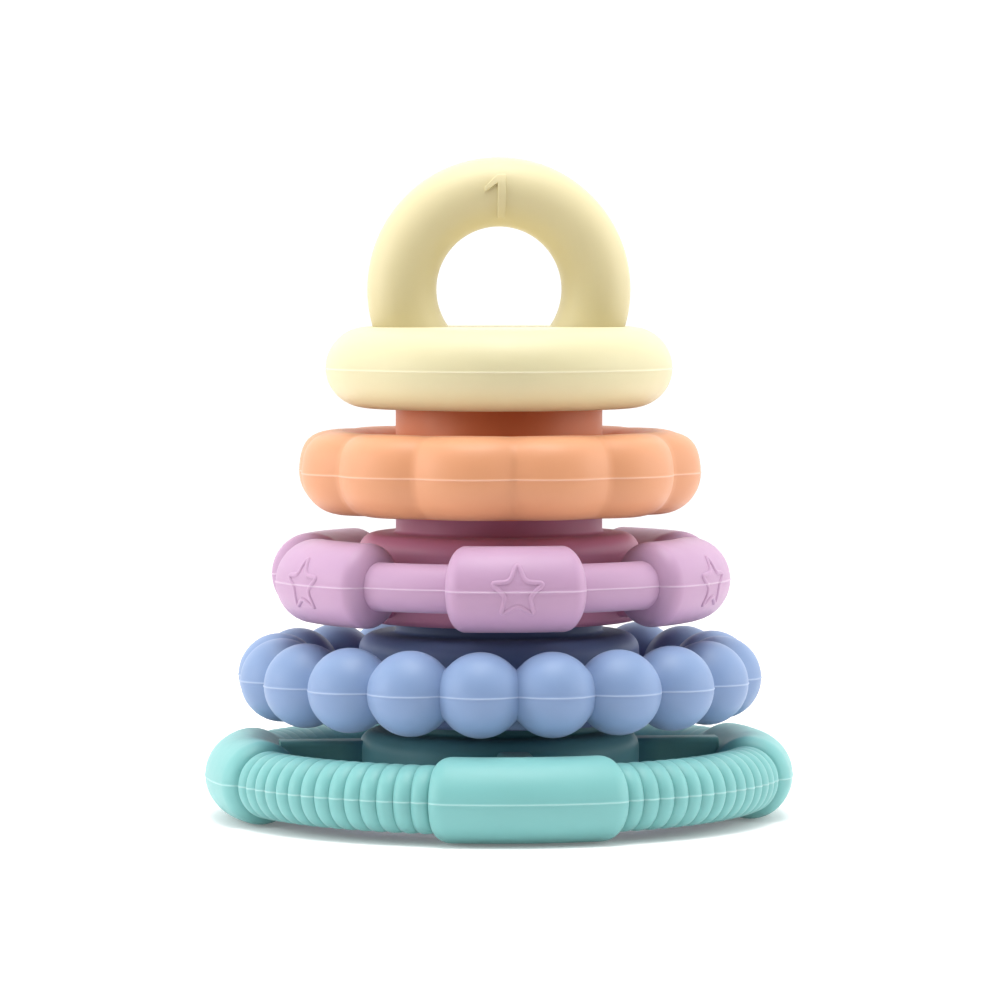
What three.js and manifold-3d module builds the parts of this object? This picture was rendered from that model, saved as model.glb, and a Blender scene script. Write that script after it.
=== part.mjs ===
// Stacking ring tower: five soft silicone rings, each plugged onto the neck of the ring below.
// Millimetres, +Z up, origin at the middle of the underside, front towards -Y.
import * as THREE from 'three';
import { ParametricGeometry } from 'three/addons/geometries/ParametricGeometry.js';
import { mergeVertices } from 'three/addons/utils/BufferGeometryUtils.js';
import Module from 'manifold-3d';

const wasm = await Module();
wasm.setup();

// The hub, neck and socket that every ring shares
const seamHeight = 8.7; // mould parting plane above the underside
const hubHeight = 17.8;
const hubRadius = 28.6;
const hubEdgeRound = 3.6;
const hubFootRound = 1.2;
const neckRadius = 21.05;
const neckTopRound = 1.6;
const plugDepth = 10; // how far a neck reaches into the ring above
const fitGap = 0.3; // clearance round a neck and above its top
const socketMouthChamfer = 0.8;
const cutPast = 1; // how far a cutter runs out past the face it cuts

// How far each neck holds the next ring above its own hub
const baseStandOff = 2.1;
const beadStandOff = 2.5;
const starStandOff = 3.7;
const scallopStandOff = 3.2;

// Arms from a hub to its ring
const armWidth = 8;
const armFootHeight = 1.5; // underside of every arm
const armSink = 3; // how far an arm runs into the ring it holds

// Base ring: smooth sleeves with ribbed rope between them
const baseCentreRadius = 51.6;
const baseSleeveRadius = 8.4;
const baseRopeRadius = 6.75;
const baseSleeves = 4;
const baseSleeveEndRound = 2.4;
const ribDepth = 0.7;
const ribsPerRope = 14;
const ribPitch = THREE.MathUtils.degToRad(3.6);
const ribFadeStart = THREE.MathUtils.degToRad(85); // round the section, from the outer side
const ribFadeEnd = THREE.MathUtils.degToRad(150);
const baseArmTop = 15.8;
const baseTurn = THREE.MathUtils.degToRad(1.6); // how far it is turned from the rings above

// Bead ring
const beadRadius = 8.45;
const beadCentreRadius = 45.1;
const beadCount = 20;
const beadCoreRadius = 4.7;
const beadArmTop = 12;
const beadArms = 4;

// Star ring: thick sleeves on a thinner rod
const starCentreRadius = 39.2;
const starSleeveRadius = 8.5;
const starRodRadius = 4.85;
const starSleeves = 6;
const starSleeveHalfAngle = THREE.MathUtils.degToRad(18.2);
const starSleeveEndRound = 2.8;
const starArmTop = 12;
const starReach = 5.4; // middle of the star to a point
const starWaist = 2.5; // middle of the star to an inner corner
const starLineWidth = 0.8;
const starPoints = 5;

// Scalloped ring
const scallopOuterRadius = 41.4;
const scallopSectionRadius = 8.4;
const scallopCount = 12;
const scallopDepth = 2.7;
const scallopSquash = 0.15; // loss of height at a crease
const scallopShoulder = 0.07; // extra fullness of the section between its outer side and its top
const scallopDish = 3.6; // how far its hub lies below the height of the other hubs
const scallopSink = 4; // how far the ring runs into its hub

// Top piece
const discRadius = 35.3;
const discRimRadius = 8.4;
const discUnderHeight = 8; // parting plane to the underside
const handleCentreRadius = 19.8;
const handleTubeRadius = 7.05;
const handleRise = 16; // centre of the handle ring above the parting plane
const handleSink = 4.5; // how far the handle runs down into the disc
const numeralHeight = 8.4;
const numeralDrop = 0.9; // middle of the numeral below the middle of the tube
const numeralStroke = 1.7;
const numeralFlag = 3.4;

// Raised marks
const markRaise = 0.5;
const markSink = 0.9;
const markStep = 4; // longest straight run of a mark before it follows the curve

// Facets
const latheSteps = 40;
const arcSteps = 1; // doubled by three.js on an arc
const rimSteps = 2;
const sectionSteps = 12;
const handleSteps = 32;
const sleeveEndSteps = 3;
const stepsPerBead = 4;
const stepsPerLobe = 4;

const fullTurn = 2 * Math.PI;

// A closed solid from a three.js geometry.
function solid(geometry) {
  geometry.deleteAttribute('normal');
  geometry.deleteAttribute('uv');
  const merged = mergeVertices(geometry, 1e-4);
  const corners = merged.index.array;
  const kept = [];
  for (let i = 0; i < corners.length; i += 3) {
    const [a, b, c] = corners.slice(i, i + 3);
    if (a !== b && b !== c && c !== a) kept.push(a, b, c);
  }
  return new wasm.Manifold(new wasm.Mesh({
    numProp: 3,
    vertProperties: new Float32Array(merged.attributes.position.array),
    triVerts: new Uint32Array(kept),
  }));
}

function join(pieces) {
  return pieces.reduce((whole, piece) => whole.add(piece));
}

// A named mesh from a finished solid.
function part(name, body, color, height, turn) {
  const mesh = body.getMesh();
  const geometry = new THREE.BufferGeometry();
  geometry.setAttribute('position', new THREE.BufferAttribute(mesh.vertProperties, 3));
  geometry.setIndex(new THREE.BufferAttribute(mesh.triVerts, 1));
  geometry.computeVertexNormals();
  const material = new THREE.MeshStandardMaterial({ color, roughness: 0.55, metalness: 0 });
  const placed = new THREE.Mesh(geometry, material);
  placed.name = name;
  placed.position.z = height;
  placed.rotation.z = turn;
  return placed;
}

// A solid of revolution from a profile drawn as radius and height.
function turned(profile, steps = arcSteps) {
  return solid(new THREE.LatheGeometry(profile.getPoints(steps), latheSteps).rotateX(Math.PI / 2));
}

// A point on a ring: turn runs round the tower from the front, tilt round the section from its outer side.
function ringPoint(target, centreRadius, turn, tilt, outward, upward) {
  const reach = centreRadius + outward * Math.cos(tilt);
  return target.set(reach * Math.sin(turn), -reach * Math.cos(turn), seamHeight + upward * Math.sin(tilt));
}

// A closed ring whose section changes from station to station.
function ring(stations, place) {
  const count = stations.length;
  const surface = (u, v, target) => {
    const station = stations[Math.round(u * count) % count];
    const tilt = fullTurn * (Math.round(v * sectionSteps) % sectionSteps) / sectionSteps;
    place(target, station, tilt);
  };
  return solid(new ParametricGeometry(surface, count, sectionSteps));
}

// Hub and neck, solid underneath, its top sunk by the depth of a dish.
function hub(standOff, dish = 0) {
  const neckTop = hubHeight + standOff + plugDepth;
  const faceHeight = hubHeight - dish;
  const edgeRound = Math.min(hubEdgeRound, hubRadius - neckRadius);
  const profile = new THREE.Path();
  profile.moveTo(0, 0);
  profile.lineTo(hubRadius - hubFootRound, 0);
  profile.lineTo(hubRadius, hubFootRound);
  profile.lineTo(hubRadius, faceHeight - edgeRound);
  profile.absarc(hubRadius - edgeRound, faceHeight - edgeRound, edgeRound, 0, Math.PI / 2, false);
  profile.lineTo(neckRadius, faceHeight);
  profile.lineTo(neckRadius, neckTop - neckTopRound);
  profile.lineTo(neckRadius - neckTopRound, neckTop);
  profile.lineTo(0, neckTop);
  return turned(profile);
}

// Cuts the blind socket that takes the neck of the ring below.
function cutSocket(body) {
  const socketRadius = neckRadius + fitGap;
  const mouth = socketMouthChamfer + cutPast;
  const profile = new THREE.Path();
  profile.moveTo(0, -cutPast);
  profile.lineTo(socketRadius + mouth, -cutPast);
  profile.lineTo(socketRadius, socketMouthChamfer);
  profile.lineTo(socketRadius, plugDepth + fitGap);
  profile.lineTo(0, plugDepth + fitGap);
  return body.subtract(turned(profile));
}

// Evenly spaced arms from the neck's radius out into the ring, the first one at startTurn.
function arms(count, startTurn, ringInnerRadius, topHeight) {
  const length = ringInnerRadius + armSink - hubRadius + hubEdgeRound;
  const height = topHeight - armFootHeight;
  return Array.from({ length: count }, (_, i) => {
    const arm = new THREE.BoxGeometry(armWidth, length, height);
    arm.translate(0, -(ringInnerRadius + armSink - length / 2), armFootHeight + height / 2);
    return solid(arm.rotateZ(startTurn + i * fullTurn / count));
  });
}

// Splits the long edges of an outline so that a raised mark can follow a curved surface.
function stepped(corners) {
  return corners.flatMap((corner, i) => {
    const next = corners[(i + 1) % corners.length];
    const steps = Math.ceil(corner.distanceTo(next) / markStep);
    return Array.from({ length: steps }, (_, k) => corner.clone().lerp(next, k / steps));
  });
}

// A flat mark, wrapped by a function that takes across, up and proud to a point.
function mark(shape, wrap) {
  const geometry = new THREE.ExtrudeGeometry(shape, {
    depth: markRaise + markSink, bevelEnabled: false, steps: 1, curveSegments: 1,
  });
  const position = geometry.attributes.position;
  const point = new THREE.Vector3();
  for (let i = 0; i < position.count; i += 1) {
    wrap(point, position.getX(i), position.getY(i), position.getZ(i) - markSink);
    position.setXYZ(i, point.x, point.y, point.z);
  }
  return solid(geometry);
}

// Stations across one sleeve: a rounded end, its even middle and the other end.
function sleeveStations(middle, halfAngle, endAngle, rodRadius, sleeveRadius) {
  const start = Array.from({ length: sleeveEndSteps + 1 }, (_, i) => {
    const bend = Math.PI / 2 * i / sleeveEndSteps;
    return {
      turn: middle - halfAngle + endAngle * (1 - Math.cos(bend)),
      radius: rodRadius + (sleeveRadius - rodRadius) * Math.sin(bend),
    };
  });
  const even = [-0.5, 0, 0.5].map((share) => (
    { turn: middle + share * (halfAngle - endAngle), radius: sleeveRadius }
  ));
  const finish = start.map(({ turn, radius }) => ({ turn: 2 * middle - turn, radius })).reverse();
  return [...start, ...even, ...finish];
}

// Smooth sleeves joined by ribbed rope, the ribs fading out over the top and bottom.
function baseRing() {
  const sleeveHalf = (fullTurn / baseSleeves - ribsPerRope * ribPitch) / 2;
  const endAngle = baseSleeveEndRound / baseCentreRadius;
  const stations = [];
  for (let sleeve = 0; sleeve < baseSleeves; sleeve += 1) {
    const middle = sleeve * fullTurn / baseSleeves;
    stations.push(...sleeveStations(middle, sleeveHalf, endAngle, baseRopeRadius, baseSleeveRadius));
    for (let half = 1; half < 2 * ribsPerRope; half += 1) {
      const groove = half % 2 === 0 ? ribDepth : 0;
      stations.push({ turn: middle + sleeveHalf + half * ribPitch / 2, radius: baseRopeRadius, groove });
    }
  }
  return ring(stations, (target, { turn, radius, groove = 0 }, tilt) => {
    const fromOuter = Math.min(tilt, fullTurn - tilt);
    const fade = 1 - THREE.MathUtils.smoothstep(fromOuter, ribFadeStart, ribFadeEnd);
    ringPoint(target, baseCentreRadius, turn, tilt, radius - groove * fade, radius - groove * fade);
  });
}

// Round beads in a row, thinned to a core where they meet.
function beadRing() {
  const beadAngle = fullTurn / beadCount;
  const stations = Array.from({ length: beadCount * stepsPerBead }, (_, i) => {
    const within = ((i % stepsPerBead) / stepsPerBead - 0.5) * beadAngle;
    const offset = beadCentreRadius * Math.sin(within);
    return {
      turn: i * beadAngle / stepsPerBead,
      centre: beadCentreRadius * Math.cos(within),
      radius: Math.sqrt(Math.max(beadRadius ** 2 - offset ** 2, beadCoreRadius ** 2)),
    };
  });
  return ring(stations, (target, { turn, centre, radius }, tilt) => {
    ringPoint(target, centre, turn, tilt, radius, radius);
  });
}

// Thick sleeves with rounded ends on a thinner rod.
function starRing() {
  const endAngle = starSleeveEndRound / starCentreRadius;
  const spacing = fullTurn / starSleeves;
  const stations = [];
  for (let sleeve = 0; sleeve < starSleeves; sleeve += 1) {
    const middle = sleeve * spacing;
    stations.push(
      ...sleeveStations(middle, starSleeveHalfAngle, endAngle, starRodRadius, starSleeveRadius),
      { turn: middle + spacing / 2, radius: starRodRadius },
    );
  }
  return ring(stations, (target, { turn, radius }, tilt) => {
    ringPoint(target, starCentreRadius, turn, tilt, radius, radius);
  });
}

// A five-pointed star drawn as a raised line.
function starOutline(inset) {
  const shrink = 1 - inset / starWaist;
  return stepped(Array.from({ length: 2 * starPoints }, (_, i) => {
    const reach = (i % 2 === 0 ? starReach : starWaist) * shrink;
    const angle = i * Math.PI / starPoints;
    return new THREE.Vector2(-reach * Math.sin(angle), reach * Math.cos(angle));
  }));
}

function stars() {
  const shape = new THREE.Shape(starOutline(0));
  shape.holes.push(new THREE.Path(starOutline(starLineWidth)));
  return Array.from({ length: starSleeves }, (_, i) => mark(shape, (target, across, up, proud) => {
    const turn = i * fullTurn / starSleeves + across / (starCentreRadius + starSleeveRadius);
    const radius = starSleeveRadius + proud;
    ringPoint(target, starCentreRadius, turn, up / starSleeveRadius, radius, radius);
  }));
}

// Shallow lobes with creases between them that also dip a little in height.
function scallopRing() {
  const lobeAngle = fullTurn / scallopCount;
  const centreRadius = scallopOuterRadius - scallopSectionRadius;
  const inward = centreRadius - hubRadius + scallopSink;
  const stations = Array.from({ length: scallopCount * stepsPerLobe }, (_, i) => ({
    turn: i * lobeAngle / stepsPerLobe,
    crease: 1 - Math.sin(Math.PI * (i % stepsPerLobe) / stepsPerLobe),
  }));
  return ring(stations, (target, { turn, crease }, tilt) => {
    const toOuter = scallopSectionRadius - scallopDepth * crease * Math.cos(tilt);
    const full = tilt < Math.PI / 2 ? 1 + scallopShoulder * Math.sin(2 * tilt) : 1;
    const outward = full * (Math.cos(tilt) > 0 ? toOuter : inward);
    const upward = full * (scallopSectionRadius - scallopSquash * crease);
    ringPoint(target, centreRadius, turn, tilt, outward, upward);
  });
}

// A round-rimmed disc.
function disc() {
  const flatRadius = discRadius - discRimRadius;
  const profile = new THREE.Path();
  profile.moveTo(0, seamHeight - discUnderHeight);
  profile.lineTo(flatRadius, seamHeight - discUnderHeight);
  profile.absellipse(flatRadius, seamHeight, discRimRadius, discUnderHeight, -Math.PI / 2, 0, false);
  profile.absarc(flatRadius, seamHeight, discRimRadius, 0, Math.PI / 2, false);
  profile.lineTo(0, seamHeight + discRimRadius);
  return turned(profile, rimSteps);
}

// A ring handle that stands on edge, cut off inside the disc.
function handle() {
  const loop = new THREE.TorusGeometry(handleCentreRadius, handleTubeRadius, sectionSteps, handleSteps);
  loop.rotateX(Math.PI / 2).translate(0, 0, seamHeight + handleRise);
  const span = 2 * (handleCentreRadius + handleTubeRadius + 1);
  const keep = new THREE.BoxGeometry(span, span, span);
  keep.translate(0, 0, seamHeight + discRimRadius - handleSink + span / 2);
  return solid(loop).intersect(solid(keep));
}

// The numeral 1, wrapped onto the front of the handle at its top.
function numeral() {
  const half = numeralStroke / 2;
  const top = numeralHeight / 2;
  const corners = [
    [-half, -top], [half, -top], [half, top], [-half, top],
    [-numeralFlag, top - numeralFlag + half], [-numeralFlag, top - numeralFlag - half],
    [-half, top - numeralStroke],
  ].map(([across, up]) => new THREE.Vector2(across, up));
  const middleHeight = seamHeight + handleRise + handleCentreRadius;
  return mark(new THREE.Shape(stepped(corners)), (target, across, up, proud) => {
    const tilt = (up - numeralDrop) / handleTubeRadius;
    const reach = handleTubeRadius + proud;
    target.set(across, -reach * Math.cos(tilt), middleHeight + reach * Math.sin(tilt));
  });
}

const beadHeight = hubHeight + baseStandOff;
const starHeight = beadHeight + hubHeight + beadStandOff;
const scallopHeight = starHeight + hubHeight + starStandOff;
const topHeight = scallopHeight + hubHeight + scallopStandOff;

const base = join([
  hub(baseStandOff), baseRing(),
  ...arms(baseSleeves, 0, baseCentreRadius - baseSleeveRadius, baseArmTop),
]);
const bead = cutSocket(join([
  hub(beadStandOff), beadRing(),
  ...arms(beadArms, 0, beadCentreRadius - beadRadius, beadArmTop),
]));
const star = cutSocket(join([
  hub(starStandOff), starRing(),
  ...arms(starSleeves, 0, starCentreRadius - starSleeveRadius, starArmTop), ...stars(),
]));
const scallop = cutSocket(join([hub(scallopStandOff, scallopDish), scallopRing()]));
const top = cutSocket(join([disc(), handle(), numeral()]));

const tower = new THREE.Group();
tower.add(
  part('base_ring', base, 0x86d4cc, 0, baseTurn),
  part('bead_ring', bead, 0x98addd, beadHeight, 0),
  part('star_ring', star, 0xdcb0d4, starHeight, 0),
  part('scallop_ring', scallop, 0xf2ab82, scallopHeight, 0),
  part('top_piece', top, 0xf3e9bf, topHeight, 0),
);

export default tower;
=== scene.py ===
import math

import bmesh
import bpy
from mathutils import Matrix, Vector


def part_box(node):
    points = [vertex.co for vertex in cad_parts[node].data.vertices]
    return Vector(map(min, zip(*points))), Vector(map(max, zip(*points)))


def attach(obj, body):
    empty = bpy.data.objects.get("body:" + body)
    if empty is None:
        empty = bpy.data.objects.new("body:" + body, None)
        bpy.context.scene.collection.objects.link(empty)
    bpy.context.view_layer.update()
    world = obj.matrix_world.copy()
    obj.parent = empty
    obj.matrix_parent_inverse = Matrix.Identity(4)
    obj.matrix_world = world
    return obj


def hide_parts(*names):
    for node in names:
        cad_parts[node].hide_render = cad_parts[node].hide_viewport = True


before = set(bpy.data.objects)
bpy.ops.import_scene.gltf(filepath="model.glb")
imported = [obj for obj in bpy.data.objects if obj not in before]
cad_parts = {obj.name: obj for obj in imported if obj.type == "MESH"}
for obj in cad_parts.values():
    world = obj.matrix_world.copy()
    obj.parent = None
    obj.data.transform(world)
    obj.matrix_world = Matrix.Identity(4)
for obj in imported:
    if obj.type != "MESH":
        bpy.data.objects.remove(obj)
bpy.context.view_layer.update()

mm = 0.001
upward = (0, 0, 1)
middle = (0, 0, 0)

mould = {
    "seamHeight": 8.7 * mm,  # mould line above a ring's underside
    "seamProud": 0.1 * mm,
    "draft": 0.86,  # an arm narrows upwards so that it leaves the mould
    "armFoot": 1.5 * mm,
    "armRound": 1.1 * mm,
    "armSteps": 5,
    "mergeWithin": 0.01 * mm,  # copies that meet round a ring
    "sliver": 0.001 * mm,  # what the welds may leave
    "smoothBelow": math.radians(35),
}


def selectOnly(piece):
    bpy.ops.object.select_all(action="DESELECT")
    bpy.context.view_layer.objects.active = piece
    piece.select_set(True)


def openEdit(piece):
    selectOnly(piece)
    bpy.ops.object.mode_set(mode="EDIT")


def closeEdit():
    bpy.ops.object.mode_set(mode="OBJECT")


def settle(piece, name):
    piece.name = name
    bpy.ops.object.transform_apply(location=True, rotation=True, scale=True)


def pick(piece, kind, test):  # in edit mode, selects only what passes the test
    bpy.ops.mesh.select_mode(type=kind)
    bpy.ops.mesh.select_all(action="DESELECT")
    mesh = bmesh.from_edit_mesh(piece.data)
    for item in {"VERT": mesh.verts, "EDGE": mesh.edges, "FACE": mesh.faces}[kind]:
        if test(item):
            item.select_set(True)
    mesh.select_flush_mode()
    bmesh.update_edit_mesh(piece.data)


def near(a, b, slack=0.02 * mm):
    return abs(a - b) < slack


def onCircle(vertex, radius, height):
    return near(vertex.co.xy.length, radius) and near(vertex.co.z, height)


def turnPicked(angle):  # anticlockwise from above
    bpy.ops.transform.rotate(value=-angle, orient_axis="Z", center_override=middle)


def repeatRound(piece, copies, pitch):
    openEdit(piece)
    bpy.ops.mesh.select_all(action="SELECT")
    for _ in range(copies - 1):
        bpy.ops.mesh.duplicate()
        turnPicked(pitch)
    closeEdit()


def closeSkin(piece):
    openEdit(piece)
    bpy.ops.mesh.select_all(action="SELECT")
    bpy.ops.mesh.remove_doubles(threshold=mould["mergeWithin"])
    bpy.ops.mesh.normals_make_consistent(inside=False)
    closeEdit()


def joinLoose(pieces):
    bpy.ops.object.select_all(action="DESELECT")
    for piece in pieces:
        piece.select_set(True)
    bpy.context.view_layer.objects.active = pieces[0]
    bpy.ops.object.join()
    return pieces[0]


def modify(piece, kind, settings):
    selectOnly(piece)
    bpy.ops.object.modifier_add(type=kind)
    modifier = piece.modifiers[-1]
    for name, value in settings.items():
        setattr(modifier, name, value)
    bpy.ops.object.modifier_apply(modifier=modifier.name)


def combine(whole, other, operation):
    modify(whole, "BOOLEAN", {"operation": operation, "solver": "MANIFOLD", "object": other})
    bpy.data.objects.remove(other)


def weld(whole, additions):  # one closed skin from several solids
    for addition in additions:
        combine(whole, addition, "UNION")
    return whole


# hub, neck and socket are the same on every ring
hub = {
    "radius": 28.6 * mm,
    "height": 17.8 * mm,
    "edgeRound": 3.6 * mm,
    "footRound": 1.2 * mm,
    "neckRadius": 21.05 * mm,
    "neckFillet": 0.7 * mm,
    "neckRound": 1.6 * mm,
    "plug": 10 * mm,
    "gap": 0.3 * mm,
    "mouthRound": 0.7 * mm,
    "sides": 128,
    "edgeSteps": 8,
    "roundSteps": 4,
    "mouthSteps": 3,
    "standOff": {  # bare neck between a hub and the ring above
        "base_ring": 2.1 * mm,
        "bead_ring": 2.5 * mm,
        "star_ring": 3.7 * mm,
        "scallop_ring": 3.2 * mm,
    },
}


def roundRim(piece, radius, height, size, steps):
    pick(piece, "EDGE", lambda edge: all(onCircle(v, radius, height) for v in edge.verts))
    bpy.ops.mesh.bevel(offset=size, segments=steps, profile=0.5, affect="EDGES")


def makeHub(name, node, hasSocket, dish=0):
    under = underside(node)
    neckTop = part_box(node)[1].z
    top = under + hub["height"] - dish
    bpy.ops.mesh.primitive_cylinder_add(
        vertices=hub["sides"], radius=hub["radius"], depth=top - under,
        location=(0, 0, (under + top) / 2)
    )
    piece = bpy.context.active_object
    settle(piece, name)
    openEdit(piece)
    pick(piece, "FACE", lambda face: face.normal.z > 0.9)
    bpy.ops.mesh.inset(thickness=hub["radius"] - hub["neckRadius"])
    bpy.ops.mesh.extrude_region_move(TRANSFORM_OT_translate={"value": (0, 0, neckTop - top)})
    if hasSocket:
        socketRadius = hub["neckRadius"] + hub["gap"]
        pick(piece, "FACE", lambda face: face.normal.z < -0.9)
        bpy.ops.mesh.inset(thickness=hub["radius"] - socketRadius)
        socketDepth = hub["plug"] + hub["gap"]
        bpy.ops.mesh.extrude_region_move(TRANSFORM_OT_translate={"value": (0, 0, socketDepth)})
        roundRim(piece, socketRadius, under, hub["mouthRound"], hub["mouthSteps"])
    roundRim(piece, hub["radius"], top, hub["edgeRound"], hub["edgeSteps"])
    roundRim(piece, hub["radius"], under, hub["footRound"], hub["roundSteps"])
    roundRim(piece, hub["neckRadius"], top, hub["neckFillet"], hub["roundSteps"])
    roundRim(piece, hub["neckRadius"], neckTop, hub["neckRound"], hub["roundSteps"])
    closeEdit()
    return piece


def underside(node):  # of its hub; beads and sleeves may reach a little lower
    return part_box(node)[1].z - hub["height"] - hub["plug"] - hub["standOff"][node]


def runsOutward(edge):  # level, and square to the ring
    a, b = edge.verts
    return near(a.co.z, b.co.z) and near(a.co.x, b.co.x)


def makeArms(name, sizes, reachOut, low):  # flat bridges from the hub to the ring
    foot, top = mould["armFoot"], sizes["armTop"]
    reachIn = hub["radius"] - hub["edgeRound"]
    bpy.ops.mesh.primitive_cube_add(
        size=1, location=(0, -(reachIn + reachOut) / 2, low + (foot + top) / 2)
    )
    piece = bpy.context.active_object
    piece.scale = (sizes["armWidth"], reachOut - reachIn, top - foot)
    settle(piece, name)
    openEdit(piece)
    pick(piece, "FACE", lambda face: face.normal.z > 0.9)
    bpy.ops.transform.resize(value=(mould["draft"], 1, 1))
    pick(piece, "EDGE", runsOutward)
    bpy.ops.mesh.bevel(offset=mould["armRound"], segments=mould["armSteps"], profile=0.5, affect="EDGES")
    closeEdit()
    repeatRound(piece, sizes["arms"], 2 * math.pi / sizes["arms"])
    return piece


# a ring's skin is one section carried round from station to station
skinWork = {
    "sides": 48,
    "seamCuts": 3,
    "onSeam": 0.002 * mm,
    "slant": 0.707,  # across and up at 45 degrees
    "shoulderStart": 0.3 * mm,
    "shoulderSpread": 0.72,  # share of the section's half width
}


def station(turn, inner, outer, half):
    return {"turn": turn, "centre": (inner + outer) / 2, "across": (outer - inner) / 2, "half": half}


def drawSection(name, first, seamZ, sides, shoulder=0):
    bpy.ops.mesh.primitive_circle_add(
        vertices=sides, radius=first["across"], location=(0, -first["centre"], seamZ),
        rotation=(0, math.pi / 2, 0)
    )
    piece = bpy.context.active_object
    settle(piece, name)
    openEdit(piece)
    edge = -first["centre"] - first["across"]
    pick(piece, "EDGE", lambda e: any(near(v.co.y, edge) for v in e.verts))
    bpy.ops.mesh.subdivide(number_cuts=skinWork["seamCuts"])
    pick(piece, "VERT", lambda v: near(v.co.y, edge, skinWork["onSeam"]))
    bpy.ops.transform.translate(value=(0, -mould["seamProud"], 0))
    if shoulder:
        slant = skinWork["slant"]
        corner = Vector((0, -first["centre"] - first["across"] * slant, seamZ + first["across"] * slant))
        pick(piece, "VERT", lambda v: (v.co - corner).length < skinWork["shoulderStart"])
        bpy.ops.transform.translate(
            value=(0, -shoulder * slant, shoulder * slant), use_proportional_edit=True,
            proportional_edit_falloff="SMOOTH",
            proportional_size=first["across"] * skinWork["shoulderSpread"]
        )
    bpy.ops.mesh.select_mode(type="EDGE")
    bpy.ops.mesh.select_all(action="SELECT")
    bpy.ops.transform.resize(value=(1, 1, first["half"] / first["across"]), center_override=(0, 0, seamZ))
    turnPicked(first["turn"])
    return piece


def carryRound(name, stations, seamZ, shoulder=0):
    piece = drawSection(name, stations[0], seamZ, skinWork["sides"], shoulder)
    for before, after in zip(stations, stations[1:]):
        bpy.ops.mesh.extrude_region_move()
        turnPicked(after["turn"] - before["turn"])
        outward = Vector((math.sin(after["turn"]), -math.cos(after["turn"]), 0))
        here = outward * before["centre"] + Vector((0, 0, seamZ))
        flat = after["across"] / before["across"]
        tall = after["half"] / before["half"]
        if not (near(flat, 1, 1e-6) and near(tall, 1, 1e-6)):
            bpy.ops.transform.resize(value=(flat, flat, tall), center_override=here)
        if not near(after["centre"], before["centre"], 1e-9):
            bpy.ops.transform.translate(value=outward * (after["centre"] - before["centre"]))
    closeEdit()
    return piece


def sleeveStations(sizes, start):  # rounded end, even middle, rounded end
    halfAngle, centre = sizes["sleeveHalf"], sizes["centre"]
    inside = sizes["sleeve"] - sizes["endDepth"]
    first = math.asin((sizes["rod"] - inside) / sizes["endDepth"])
    rising = []
    for i in range(sizes["endSteps"] + 1):
        bend = first + (math.pi / 2 - first) * i / sizes["endSteps"]
        along = (math.cos(first) - math.cos(bend)) * sizes["endRound"] / centre
        rising.append((along - halfAngle, inside + sizes["endDepth"] * math.sin(bend)))
    flatEnd = rising[-1][0]
    steps = sizes["evenSteps"]
    evens = [(flatEnd * (1 - 2 * i / steps), sizes["sleeve"]) for i in range(1, steps)]
    falling = [(-turn, radius) for turn, radius in reversed(rising)]
    profile = rising + evens + falling
    rows = [station(turn, centre - radius, centre + radius, radius) for turn, radius in profile]
    rows[0] = start | {"turn": rows[0]["turn"]}
    rows[-1] = start | {"turn": rows[-1]["turn"]}
    return rows


base = {
    "centre": 51.6 * mm,
    "sleeve": 8.4 * mm,
    "rod": 6.35 * mm,  # the rope at the bottom of a groove
    "rope": 6.75 * mm,
    "ribDepth": 0.95 * mm,
    "ribDip": 0.26 * mm,  # grooves above and below
    "ribCurve": 0.8,  # 0 is flat, near 1 is a half round
    "ribs": 14,
    "ribPitch": math.radians(3.6),
    "ribSteps": 8,
    "sleeves": 4,
    "sleeveHalf": math.radians(19.8),
    "endRound": 3.4 * mm,
    "endDepth": 3.0 * mm,
    "endSteps": 8,
    "evenSteps": 14,
    "arms": 4,
    "armWidth": 8 * mm,
    "armTop": 15.8 * mm,
    "turn": math.radians(1.6),
}


def ribStation(turn, share):  # share runs from 0 to 1 over one rib
    floor = math.sqrt(1 - base["ribCurve"])
    lift = (math.sqrt(1 - base["ribCurve"] * (2 * share - 1) ** 2) - floor) / (1 - floor)
    outer = base["centre"] + base["rope"] - base["ribDepth"] * (1 - lift)
    half = base["rope"] - base["ribDip"] * (1 - lift)
    return station(turn, base["centre"] - base["rope"], outer, half)


def makeBaseRing():
    low = underside("base_ring")
    seamZ = low + mould["seamHeight"]
    sleeve = carryRound("sleeve", sleeveStations(base, ribStation(0, 0)), seamZ)
    steps = base["ribSteps"]
    shares = [0.5 - 0.5 * math.cos(math.pi * i / steps) for i in range(steps + 1)]
    ribRows = [ribStation(base["sleeveHalf"] + share * base["ribPitch"], share) for share in shares]
    rib = carryRound("rib", ribRows, seamZ)
    repeatRound(rib, base["ribs"], base["ribPitch"])
    rope = joinLoose([sleeve, rib])
    repeatRound(rope, base["sleeves"], 2 * math.pi / base["sleeves"])
    closeSkin(rope)
    arms = makeArms("base_arms", base, base["centre"] - base["rope"], low)
    whole = weld(makeHub("base_hub", "base_ring", False), [rope, arms])
    openEdit(whole)
    bpy.ops.mesh.select_all(action="SELECT")
    turnPicked(base["turn"])
    closeEdit()
    return finishPiece(whole, "baseRing", "base", "base_ring", "teal_silicone", seamZ)


beads = {
    "radius": 8.45 * mm,
    "centre": 45.1 * mm,
    "count": 20,
    "core": 4.7 * mm,
    "blend": 14,  # higher runs a ball more sharply into the core
    "steps": 18,
    "arms": 4,
    "armWidth": 8 * mm,
    "armTop": 12 * mm,
}


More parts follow.
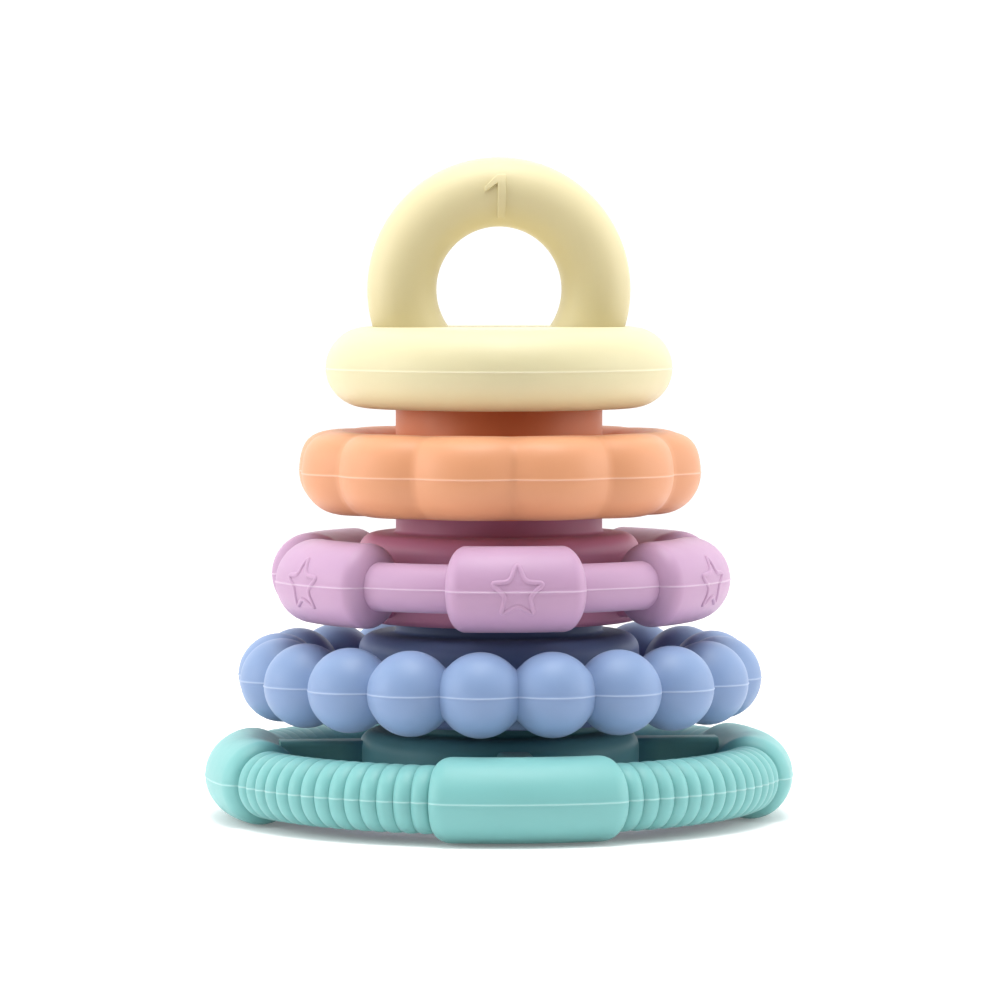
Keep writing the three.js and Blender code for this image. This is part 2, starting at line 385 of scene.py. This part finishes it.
def makeBeadRing():
    low = underside("bead_ring")
    seamZ = low + mould["seamHeight"]
    pitch = 2 * math.pi / beads["count"]
    blend = beads["blend"]
    rows = []
    for i in range(beads["steps"] + 1):
        turn = pitch * (i / beads["steps"] - 0.5)
        ball = math.sqrt(beads["radius"] ** 2 - (beads["centre"] * math.sin(turn)) ** 2)
        radius = (ball ** blend + beads["core"] ** blend) ** (1 / blend)
        centre = beads["centre"] * math.cos(turn)
        rows.append(station(turn + pitch / 2, centre - radius, centre + radius, radius))
    row = carryRound("bead", rows, seamZ)
    repeatRound(row, beads["count"], pitch)
    closeSkin(row)
    arms = makeArms("bead_arms", beads, beads["centre"] - beads["core"], low)
    whole = weld(makeHub("bead_hub", "bead_ring", True), [row, arms])
    return finishPiece(whole, "beadRing", "bead", "bead_ring", "blue_silicone", seamZ)


stars = {
    "centre": 39.2 * mm,
    "sleeve": 8.5 * mm,
    "rod": 4.85 * mm,
    "sleeves": 6,
    "sleeveHalf": math.radians(18.2),
    "endRound": 2.9 * mm,
    "endDepth": 4.1 * mm,
    "endSteps": 10,
    "evenSteps": 12,
    "rodSteps": 8,
    "arms": 6,
    "armWidth": 8 * mm,
    "armTop": 12 * mm,
    "points": 5,
    "reach": 5.5 * mm,  # middle of a star to a tip
    "waist": 2.5 * mm,  # middle of a star to an inner corner
    "line": 0.55 * mm,  # radius of the raised cord that draws the star
    "lineSink": 0.23 * mm,
    "lineSteps": 4,
    "cornerRound": 0.9 * mm,
    "cornerSteps": 4,
}
drawnAhead = 2 * mm  # a mark is drawn this far in front, then laid on the skin


def makeStar(seamZ, sleeve):
    front = -(stars["centre"] + stars["sleeve"]) - drawnAhead
    bpy.ops.mesh.primitive_circle_add(
        vertices=2 * stars["points"], radius=stars["reach"], fill_type="NGON", location=(0, front, seamZ),
        rotation=(math.pi / 2, 0, 0)
    )
    piece = bpy.context.active_object
    settle(piece, "star")
    openEdit(piece)
    firstIsTip = piece.data.vertices[0].co.z > seamZ
    pick(piece, "VERT", lambda v: (v.index % 2 == 1) == firstIsTip)  # the inner corners
    small = stars["waist"] / stars["reach"]
    bpy.ops.transform.resize(value=(small, 1, small), center_override=(0, front, seamZ))
    bpy.ops.mesh.select_all(action="SELECT")
    bpy.ops.mesh.bevel(offset=stars["cornerRound"], segments=stars["cornerSteps"], affect="VERTICES")
    bpy.ops.mesh.delete(type="ONLY_FACE")
    bpy.ops.mesh.select_all(action="SELECT")
    bpy.ops.mesh.subdivide(number_cuts=2)
    closeEdit()
    layOn(piece, sleeve)
    bpy.ops.transform.translate(value=(0, stars["lineSink"], 0))
    settle(piece, "star")
    bpy.ops.object.convert(target="CURVE")
    cord = bpy.context.active_object
    cord.data.bevel_depth = stars["line"]
    cord.data.bevel_resolution = stars["lineSteps"]
    bpy.ops.object.convert(target="MESH")
    return bpy.context.active_object


def layOn(piece, skin):  # moves a flat drawing back onto the curved skin behind it
    modify(piece, "SHRINKWRAP", {
        "wrap_method": "PROJECT",
        "use_project_y": True,
        "use_positive_direction": True,
        "use_negative_direction": False,
        "target": skin,
    })


def makeStarRing():
    low = underside("star_ring")
    seamZ = low + mould["seamHeight"]
    pitch = 2 * math.pi / stars["sleeves"]
    centre, rod = stars["centre"], stars["rod"]
    rows = sleeveStations(stars, station(0, centre - rod, centre + rod, rod))
    gap = pitch - 2 * stars["sleeveHalf"]
    rows += [rows[-1] | {"turn": stars["sleeveHalf"] + gap * i / stars["rodSteps"]}
             for i in range(1, stars["rodSteps"] + 1)]
    skin = carryRound("sleeve", rows, seamZ)
    star = makeStar(seamZ, skin)
    repeatRound(star, stars["sleeves"], pitch)
    repeatRound(skin, stars["sleeves"], pitch)
    closeSkin(skin)
    arms = makeArms("star_arms", stars, centre - rod, low)
    whole = weld(makeHub("star_hub", "star_ring", True), [skin, arms, star])
    return finishPiece(whole, "starRing", "star", "star_ring", "mauve_silicone", seamZ)


scallop = {
    "outer": 41.4 * mm,
    "crease": 38.7 * mm,
    "inner": 24.6 * mm,
    "half": 8.4 * mm,
    "creaseDip": 0.15 * mm,  # a crease runs over the top and bottom too
    "creaseSoft": math.radians(0.7),
    "shoulder": 0.62 * mm,  # fullness between the outer side and the top
    "dish": 3.6 * mm,  # how far the hub's face lies below the other hubs' height
    "lobes": 12,
    "steps": 20,
}


def makeScallopRing():
    low = underside("scallop_ring")
    seamZ = low + mould["seamHeight"]
    pitch = 2 * math.pi / scallop["lobes"]
    outer, crease = scallop["outer"], scallop["crease"]
    span = crease * math.sin(pitch / 2)  # each lobe is an arc through its two creases and its crown
    rise = outer - crease * math.cos(pitch / 2)
    arc = (span ** 2 + rise ** 2) / (2 * rise)
    back = outer - arc
    rows = []
    for i in range(scallop["steps"] + 1):
        turn = pitch * (i / scallop["steps"] - 0.5)
        fromCrown = pitch / 2 - math.hypot(pitch / 2 - abs(turn), scallop["creaseSoft"])
        reach = back * math.cos(fromCrown) + math.sqrt(arc ** 2 - (back * math.sin(fromCrown)) ** 2)
        dip = scallop["creaseDip"] * (outer - reach) / (outer - crease)
        rows.append(station(turn + pitch / 2, scallop["inner"], reach, scallop["half"] - dip))
    row = carryRound("lobe", rows, seamZ, shoulder=scallop["shoulder"])
    repeatRound(row, scallop["lobes"], pitch)
    closeSkin(row)
    whole = weld(makeHub("scallop_hub", "scallop_ring", True, scallop["dish"]), [row])
    return finishPiece(whole, "scallopRing", "scallop", "scallop_ring", "peach_silicone", seamZ)


topPiece = {
    "radius": 35.3 * mm,
    "rim": 8.4 * mm,
    "under": 8.0 * mm,
    "sides": 64,
    "spinSteps": 144,
    "cutterBelow": 2 * mm,
    "loopCentre": 19.8 * mm,
    "loopTube": 7.05 * mm,
    "loopRise": 16.0 * mm,
    "loopSink": 4.5 * mm,
    "loopSteps": 112,
    "tubeSides": 48,
    "stroke": 1.6 * mm,
    "numeral": 8.4 * mm,
    "drop": 0.9 * mm,  # middle of the numeral below the loop's centre line
    "flag": 2.6 * mm,
    "flagSlope": 0.8,
    "flagTaper": 0.6,
    "numeralCuts": 5,
    "numeralProud": 0.6 * mm,
    "numeralRound": 0.3 * mm,
    "numeralSteps": 3,
}


def makeDisc(seamZ):
    centre = topPiece["radius"] - topPiece["rim"]
    circle = station(0, centre - topPiece["rim"], topPiece["radius"], topPiece["rim"])
    piece = drawSection("disc", circle, seamZ, topPiece["sides"])
    slack = mould["mergeWithin"]
    pick(piece, "VERT", lambda v: v.co.z < seamZ - slack)
    shallower = topPiece["under"] / topPiece["rim"]
    bpy.ops.transform.resize(value=(1, 1, shallower), center_override=(0, 0, seamZ))
    pick(piece, "VERT", lambda v: v.co.y > -centre + slack)  # only the outer half of the circle is kept
    bpy.ops.mesh.delete(type="VERT")
    pick(piece, "VERT", lambda v: near(v.co.y, -centre))
    bpy.ops.mesh.extrude_region_move(TRANSFORM_OT_translate={"value": (0, centre, 0)})
    bpy.ops.mesh.select_all(action="SELECT")
    bpy.ops.mesh.spin(steps=topPiece["spinSteps"], angle=2 * math.pi, center=middle, axis=upward)
    closeEdit()
    closeSkin(piece)
    return piece


def makeSocketCutter(low):
    below = topPiece["cutterBelow"]
    depth = hub["plug"] + hub["gap"] + below
    bpy.ops.mesh.primitive_cylinder_add(
        vertices=hub["sides"], radius=hub["neckRadius"] + hub["gap"], depth=depth,
        location=(0, 0, low - below + depth / 2)
    )
    piece = bpy.context.active_object
    settle(piece, "socket_cutter")
    return piece


def makeLoop(seamZ):
    bpy.ops.mesh.primitive_torus_add(
        major_radius=topPiece["loopCentre"], minor_radius=topPiece["loopTube"],
        major_segments=topPiece["loopSteps"], minor_segments=topPiece["tubeSides"],
        location=(0, 0, seamZ + topPiece["loopRise"]), rotation=(math.pi / 2, 0, 0)
    )
    piece = bpy.context.active_object
    settle(piece, "loop")
    openEdit(piece)
    bpy.ops.mesh.select_all(action="SELECT")
    floorZ = seamZ + topPiece["rim"] - topPiece["loopSink"]
    bpy.ops.mesh.bisect(plane_co=(0, 0, floorZ), plane_no=upward, use_fill=True, clear_inner=True)
    closeEdit()
    return piece


def makeNumeral(seamZ, loop):
    height, stroke, flag = topPiece["numeral"], topPiece["stroke"], topPiece["flag"]
    centreZ = seamZ + topPiece["loopRise"] + topPiece["loopCentre"] - topPiece["drop"]
    front = -topPiece["loopTube"] - drawnAhead
    bpy.ops.mesh.primitive_plane_add(size=1, location=(0, front, centreZ), rotation=(math.pi / 2, 0, 0))
    piece = bpy.context.active_object
    piece.scale = (stroke, height, 1)
    settle(piece, "numeral")
    openEdit(piece)
    bpy.ops.mesh.select_all(action="SELECT")
    bpy.ops.mesh.bisect(plane_co=(0, 0, centreZ + height / 2 - stroke), plane_no=upward)
    flagRoot = centreZ + height / 4
    pick(piece, "EDGE", lambda e: all(near(v.co.x, -stroke / 2) and v.co.z > flagRoot for v in e.verts))
    flagEnd = (-flag, 0, -flag * topPiece["flagSlope"])
    bpy.ops.mesh.extrude_region_move(TRANSFORM_OT_translate={"value": flagEnd})
    bpy.ops.transform.resize(value=(1, 1, topPiece["flagTaper"]))
    bpy.ops.mesh.select_mode(type="FACE")
    bpy.ops.mesh.select_all(action="SELECT")
    bpy.ops.mesh.subdivide(number_cuts=topPiece["numeralCuts"])
    closeEdit()
    layOn(piece, loop)
    modify(piece, "SOLIDIFY", {"thickness": 2 * topPiece["numeralProud"], "offset": 0})
    edge = {"width": topPiece["numeralRound"], "segments": topPiece["numeralSteps"]}
    modify(piece, "BEVEL", {**edge, "limit_method": "ANGLE"})
    return piece


def makeTopPiece():
    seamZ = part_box("top_piece")[0].z + topPiece["under"]
    loop = makeLoop(seamZ)
    numeral = makeNumeral(seamZ, loop)
    whole = weld(makeDisc(seamZ), [loop, numeral])
    combine(whole, makeSocketCutter(seamZ - mould["seamHeight"]), "DIFFERENCE")
    return finishPiece(whole, "topPiece", "top", "top_piece", "yellow_silicone", seamZ)


silicone = {
    "teal_silicone": (0.16, 0.41, 0.4),
    "blue_silicone": (0.18, 0.27, 0.45),
    "mauve_silicone": (0.42, 0.26, 0.4),
    "peach_silicone": (0.61, 0.28, 0.14),
    "yellow_silicone": (0.61, 0.56, 0.34),
}
hubShadeTone = {  # painted shade: the same silicones darker and deeper in the hubs and necks, where shade falls between the rings
    "teal_silicone": (0.1, 0.3, 0.34),
    "blue_silicone": (0.14, 0.2, 0.39),
    "mauve_silicone": (0.57, 0.22, 0.36),
    "peach_silicone": (0.78, 0.26, 0.11),
    "yellow_silicone": (0.62, 0.55, 0.32),
}
finish = {
    "driftScale": 70,  # slow drift of the pigment
    "drift": 0.05,
    "grainScale": 5200,  # the mould's satin grain
    "grainStrength": 0.25,
    "grainDepth": 0.02 * mm,
    "dustScale": 420,  # talc-like film that varies the sheen
    "smoothest": 0.4,
    "roughest": 0.58,
    "hubShadeWithin": 29.5 * mm,  # of the axis; the painted shade is full within this
    "hubShadeEnds": 33 * mm,
    "lineHalf": 0.08 * mm,  # paler along the mould line
    "lineFades": 0.22 * mm,
    "linePale": 0.45,
    "lineStrength": 0.3,
}


def addNode(tree, kind, values, links):  # links: socket of the new node, and what feeds it
    node = tree.nodes.new("ShaderNode" + kind)
    for socket, value in values.items():
        node.inputs[socket].default_value = value
    for socket, source in links.items():
        tree.links.new(source, node.inputs[socket])
    return node


def mixColours(tree, amount, a, b):
    node = tree.nodes.new("ShaderNodeMix")
    node.data_type = "RGBA"
    tree.links.new(amount, node.inputs["Factor"])
    for socket, colour in (("A", a), ("B", b)):
        if isinstance(colour, tuple):
            node.inputs[socket].default_value = (*colour, 1)
        else:
            tree.links.new(colour, node.inputs[socket])
    return node.outputs["Result"]


def makeSilicone(slot, seamZ):
    material = bpy.data.materials.new(slot)
    material.use_nodes = True
    tree = material.node_tree
    skin = tree.nodes["Principled BSDF"]
    skin.inputs["IOR"].default_value = 1.41
    skin.inputs["Subsurface Weight"].default_value = 0.12
    skin.inputs["Subsurface Radius"].default_value = (1.0, 0.8, 0.7)
    skin.inputs["Subsurface Scale"].default_value = 2.5 * mm
    skin.inputs["Specular IOR Level"].default_value = 0.5
    skin.inputs["Sheen Weight"].default_value = 0.08
    skin.inputs["Sheen Roughness"].default_value = 0.5

    place = tree.nodes.new("ShaderNodeTexCoord").outputs["Object"]
    here = {"Vector": place}
    drift = addNode(tree, "TexNoise", {"Scale": finish["driftScale"], "Detail": 3}, here)
    grain = addNode(tree, "TexNoise", {"Scale": finish["grainScale"], "Detail": 4}, here)
    dust = addNode(tree, "TexNoise", {"Scale": finish["dustScale"], "Detail": 6}, here)

    colour = silicone[slot]
    darker = tuple(c * (1 - finish["drift"]) for c in colour)
    lighter = tuple(c * (1 + finish["drift"]) for c in colour)
    tint = mixColours(tree, drift.outputs["Fac"], darker, lighter)

    flat = tree.nodes.new("ShaderNodeVectorMath")  # painted shade, deeper towards the axis
    flat.operation = "MULTIPLY"
    flat.inputs[1].default_value = (1, 1, 0)
    tree.links.new(place, flat.inputs[0])
    reach = tree.nodes.new("ShaderNodeVectorMath")
    reach.operation = "LENGTH"
    tree.links.new(flat.outputs["Vector"], reach.inputs[0])
    # the painted hub shade fades out between these two distances from the axis
    shadeAmount = addNode(tree, "MapRange", {
        "From Min": finish["hubShadeWithin"], "From Max": finish["hubShadeEnds"], "To Min": 1, "To Max": 0,
    }, {"Value": reach.outputs["Value"]})
    # mixes the painted hub shade into the pigment tint
    shadedColour = mixColours(tree, shadeAmount.outputs["Result"], tint, hubShadeTone[slot])

    split = addNode(tree, "SeparateXYZ", {}, here)
    away = tree.nodes.new("ShaderNodeMath")
    away.operation = "SUBTRACT"
    away.inputs[1].default_value = seamZ
    tree.links.new(split.outputs["Z"], away.inputs[0])
    size = tree.nodes.new("ShaderNodeMath")
    size.operation = "ABSOLUTE"
    tree.links.new(away.outputs[0], size.inputs[0])
    line = addNode(tree, "MapRange", {
        "From Min": finish["lineHalf"], "From Max": finish["lineFades"],
        "To Min": finish["lineStrength"], "To Max": 0,
    }, {"Value": size.outputs[0]})
    paler = tuple(c + (1 - c) * finish["linePale"] for c in colour)
    tree.links.new(mixColours(tree, line.outputs["Result"], shadedColour, paler), skin.inputs["Base Color"])

    gloss = addNode(tree, "MapRange", {
        "To Min": finish["smoothest"], "To Max": finish["roughest"],
    }, {"Value": dust.outputs["Fac"]})
    tree.links.new(gloss.outputs["Result"], skin.inputs["Roughness"])
    bump = addNode(tree, "Bump", {
        "Strength": finish["grainStrength"], "Distance": finish["grainDepth"],
    }, {"Height": grain.outputs["Fac"]})
    tree.links.new(bump.outputs["Normal"], skin.inputs["Normal"])
    return material


def finishPiece(piece, name, body, node, slot, seamZ):
    openEdit(piece)
    bpy.ops.mesh.select_all(action="SELECT")
    bpy.ops.mesh.remove_doubles(threshold=mould["sliver"])
    bpy.ops.mesh.quads_convert_to_tris(quad_method="BEAUTY", ngon_method="BEAUTY")
    closeEdit()
    bpy.ops.object.shade_smooth_by_angle(angle=mould["smoothBelow"])
    piece.name = name
    piece.data.name = name
    piece.data.materials.clear()
    piece.data.materials.append(makeSilicone(slot, seamZ))
    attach(piece, body)
    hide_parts(node)
    print(name, "made with", len(piece.data.polygons), "faces")
    return piece


studio = {
    "distance": 1014 * mm,
    "height": 116 * mm,
    "azimuth": math.radians(-4.4),
    "aimHeight": 64.5 * mm,
    "aimAcross": 0.2 * mm,
    "lens": 179.3,
    "tableRadius": 0.62,
    "tableBack": 0.3,
    "tableGlow": 0.13,  # lifts the shadow, as light from in front would
    "frontWall": 0.02,
    "otherWalls": 1.45,
    "backdrop": 1.1,
    "lampSize": 0.5,
    "lampsAimAt": 0.06,
}
lamps = {  # place, then watts
    "overhead": ((0, -0.15, 0.8), 6),
    "left": ((-0.9, -0.15, 0.3), 3),
    "right": ((0.9, -0.15, 0.3), 2),
}


def makeTable():
    bpy.ops.mesh.primitive_circle_add(
        vertices=128, radius=studio["tableRadius"], fill_type="NGON", location=(0, studio["tableBack"], 0)
    )
    table = bpy.context.active_object
    table.name = "table"
    paper = bpy.data.materials.new("paper")
    paper.use_nodes = True
    surface = paper.node_tree.nodes["Principled BSDF"]
    surface.inputs["Base Color"].default_value = (0.95, 0.92, 0.92, 1)
    surface.inputs["Roughness"].default_value = 0.9
    surface.inputs["Specular IOR Level"].default_value = 0.1
    surface.inputs["Emission Color"].default_value = (1, 0.9, 0.9, 1)
    surface.inputs["Emission Strength"].default_value = studio["tableGlow"]
    table.data.materials.append(paper)


def makeWalls():  # white all round, dimmer on the front side
    world = bpy.data.worlds.new("studio")
    bpy.context.scene.world = world
    world.use_nodes = True
    tree = world.node_tree
    place = tree.nodes.new("ShaderNodeTexCoord")
    split = addNode(tree, "SeparateXYZ", {}, {"Vector": place.outputs["Generated"]})
    glow = addNode(tree, "MapRange", {
        "From Min": -1, "From Max": 0.1, "To Min": studio["frontWall"], "To Max": studio["otherWalls"],
    }, {"Value": split.outputs["Y"]})
    glow.interpolation_type = "SMOOTHSTEP"
    seen = tree.nodes.new("ShaderNodeLightPath")
    strength = addNode(tree, "Mix", {"B": studio["backdrop"]}, {
        "Factor": seen.outputs["Is Camera Ray"], "A": glow.outputs["Result"],
    })
    background = tree.nodes["Background"]
    background.inputs["Color"].default_value = (1, 1, 1, 1)
    tree.links.new(strength.outputs["Result"], background.inputs["Strength"])
    bpy.context.scene.view_settings.view_transform = "Standard"


def addLamp(name, place, power):
    bpy.ops.object.light_add(type="AREA", location=place)
    lamp = bpy.context.active_object
    lamp.name = name
    lamp.data.shape = "SQUARE"
    lamp.data.size = studio["lampSize"]
    lamp.data.energy = power
    aim = Vector((0, 0, studio["lampsAimAt"]))
    lamp.rotation_euler = (aim - lamp.location).to_track_quat("-Z", "Y").to_euler()


def makeCamera():
    side = Vector((math.sin(studio["azimuth"]), -math.cos(studio["azimuth"]), 0))
    place = side * studio["distance"] + Vector((0, 0, studio["height"]))
    across = Vector((-side.y, side.x, 0))
    aim = Vector((0, 0, studio["aimHeight"])) + across * studio["aimAcross"]
    bpy.ops.object.camera_add(location=place)
    camera = bpy.context.active_object
    camera.rotation_euler = (aim - place).to_track_quat("-Z", "Y").to_euler()
    camera.data.lens = studio["lens"]
    camera.data.clip_start = 0.01
    bpy.context.scene.camera = camera


makeTable()
makeWalls()
for lampName, (lampPlace, watts) in lamps.items():
    addLamp(lampName, lampPlace, watts)
makeCamera()
print("studio ready")
makeBaseRing()
makeBeadRing()
makeStarRing()
makeScallopRing()
makeTopPiece()
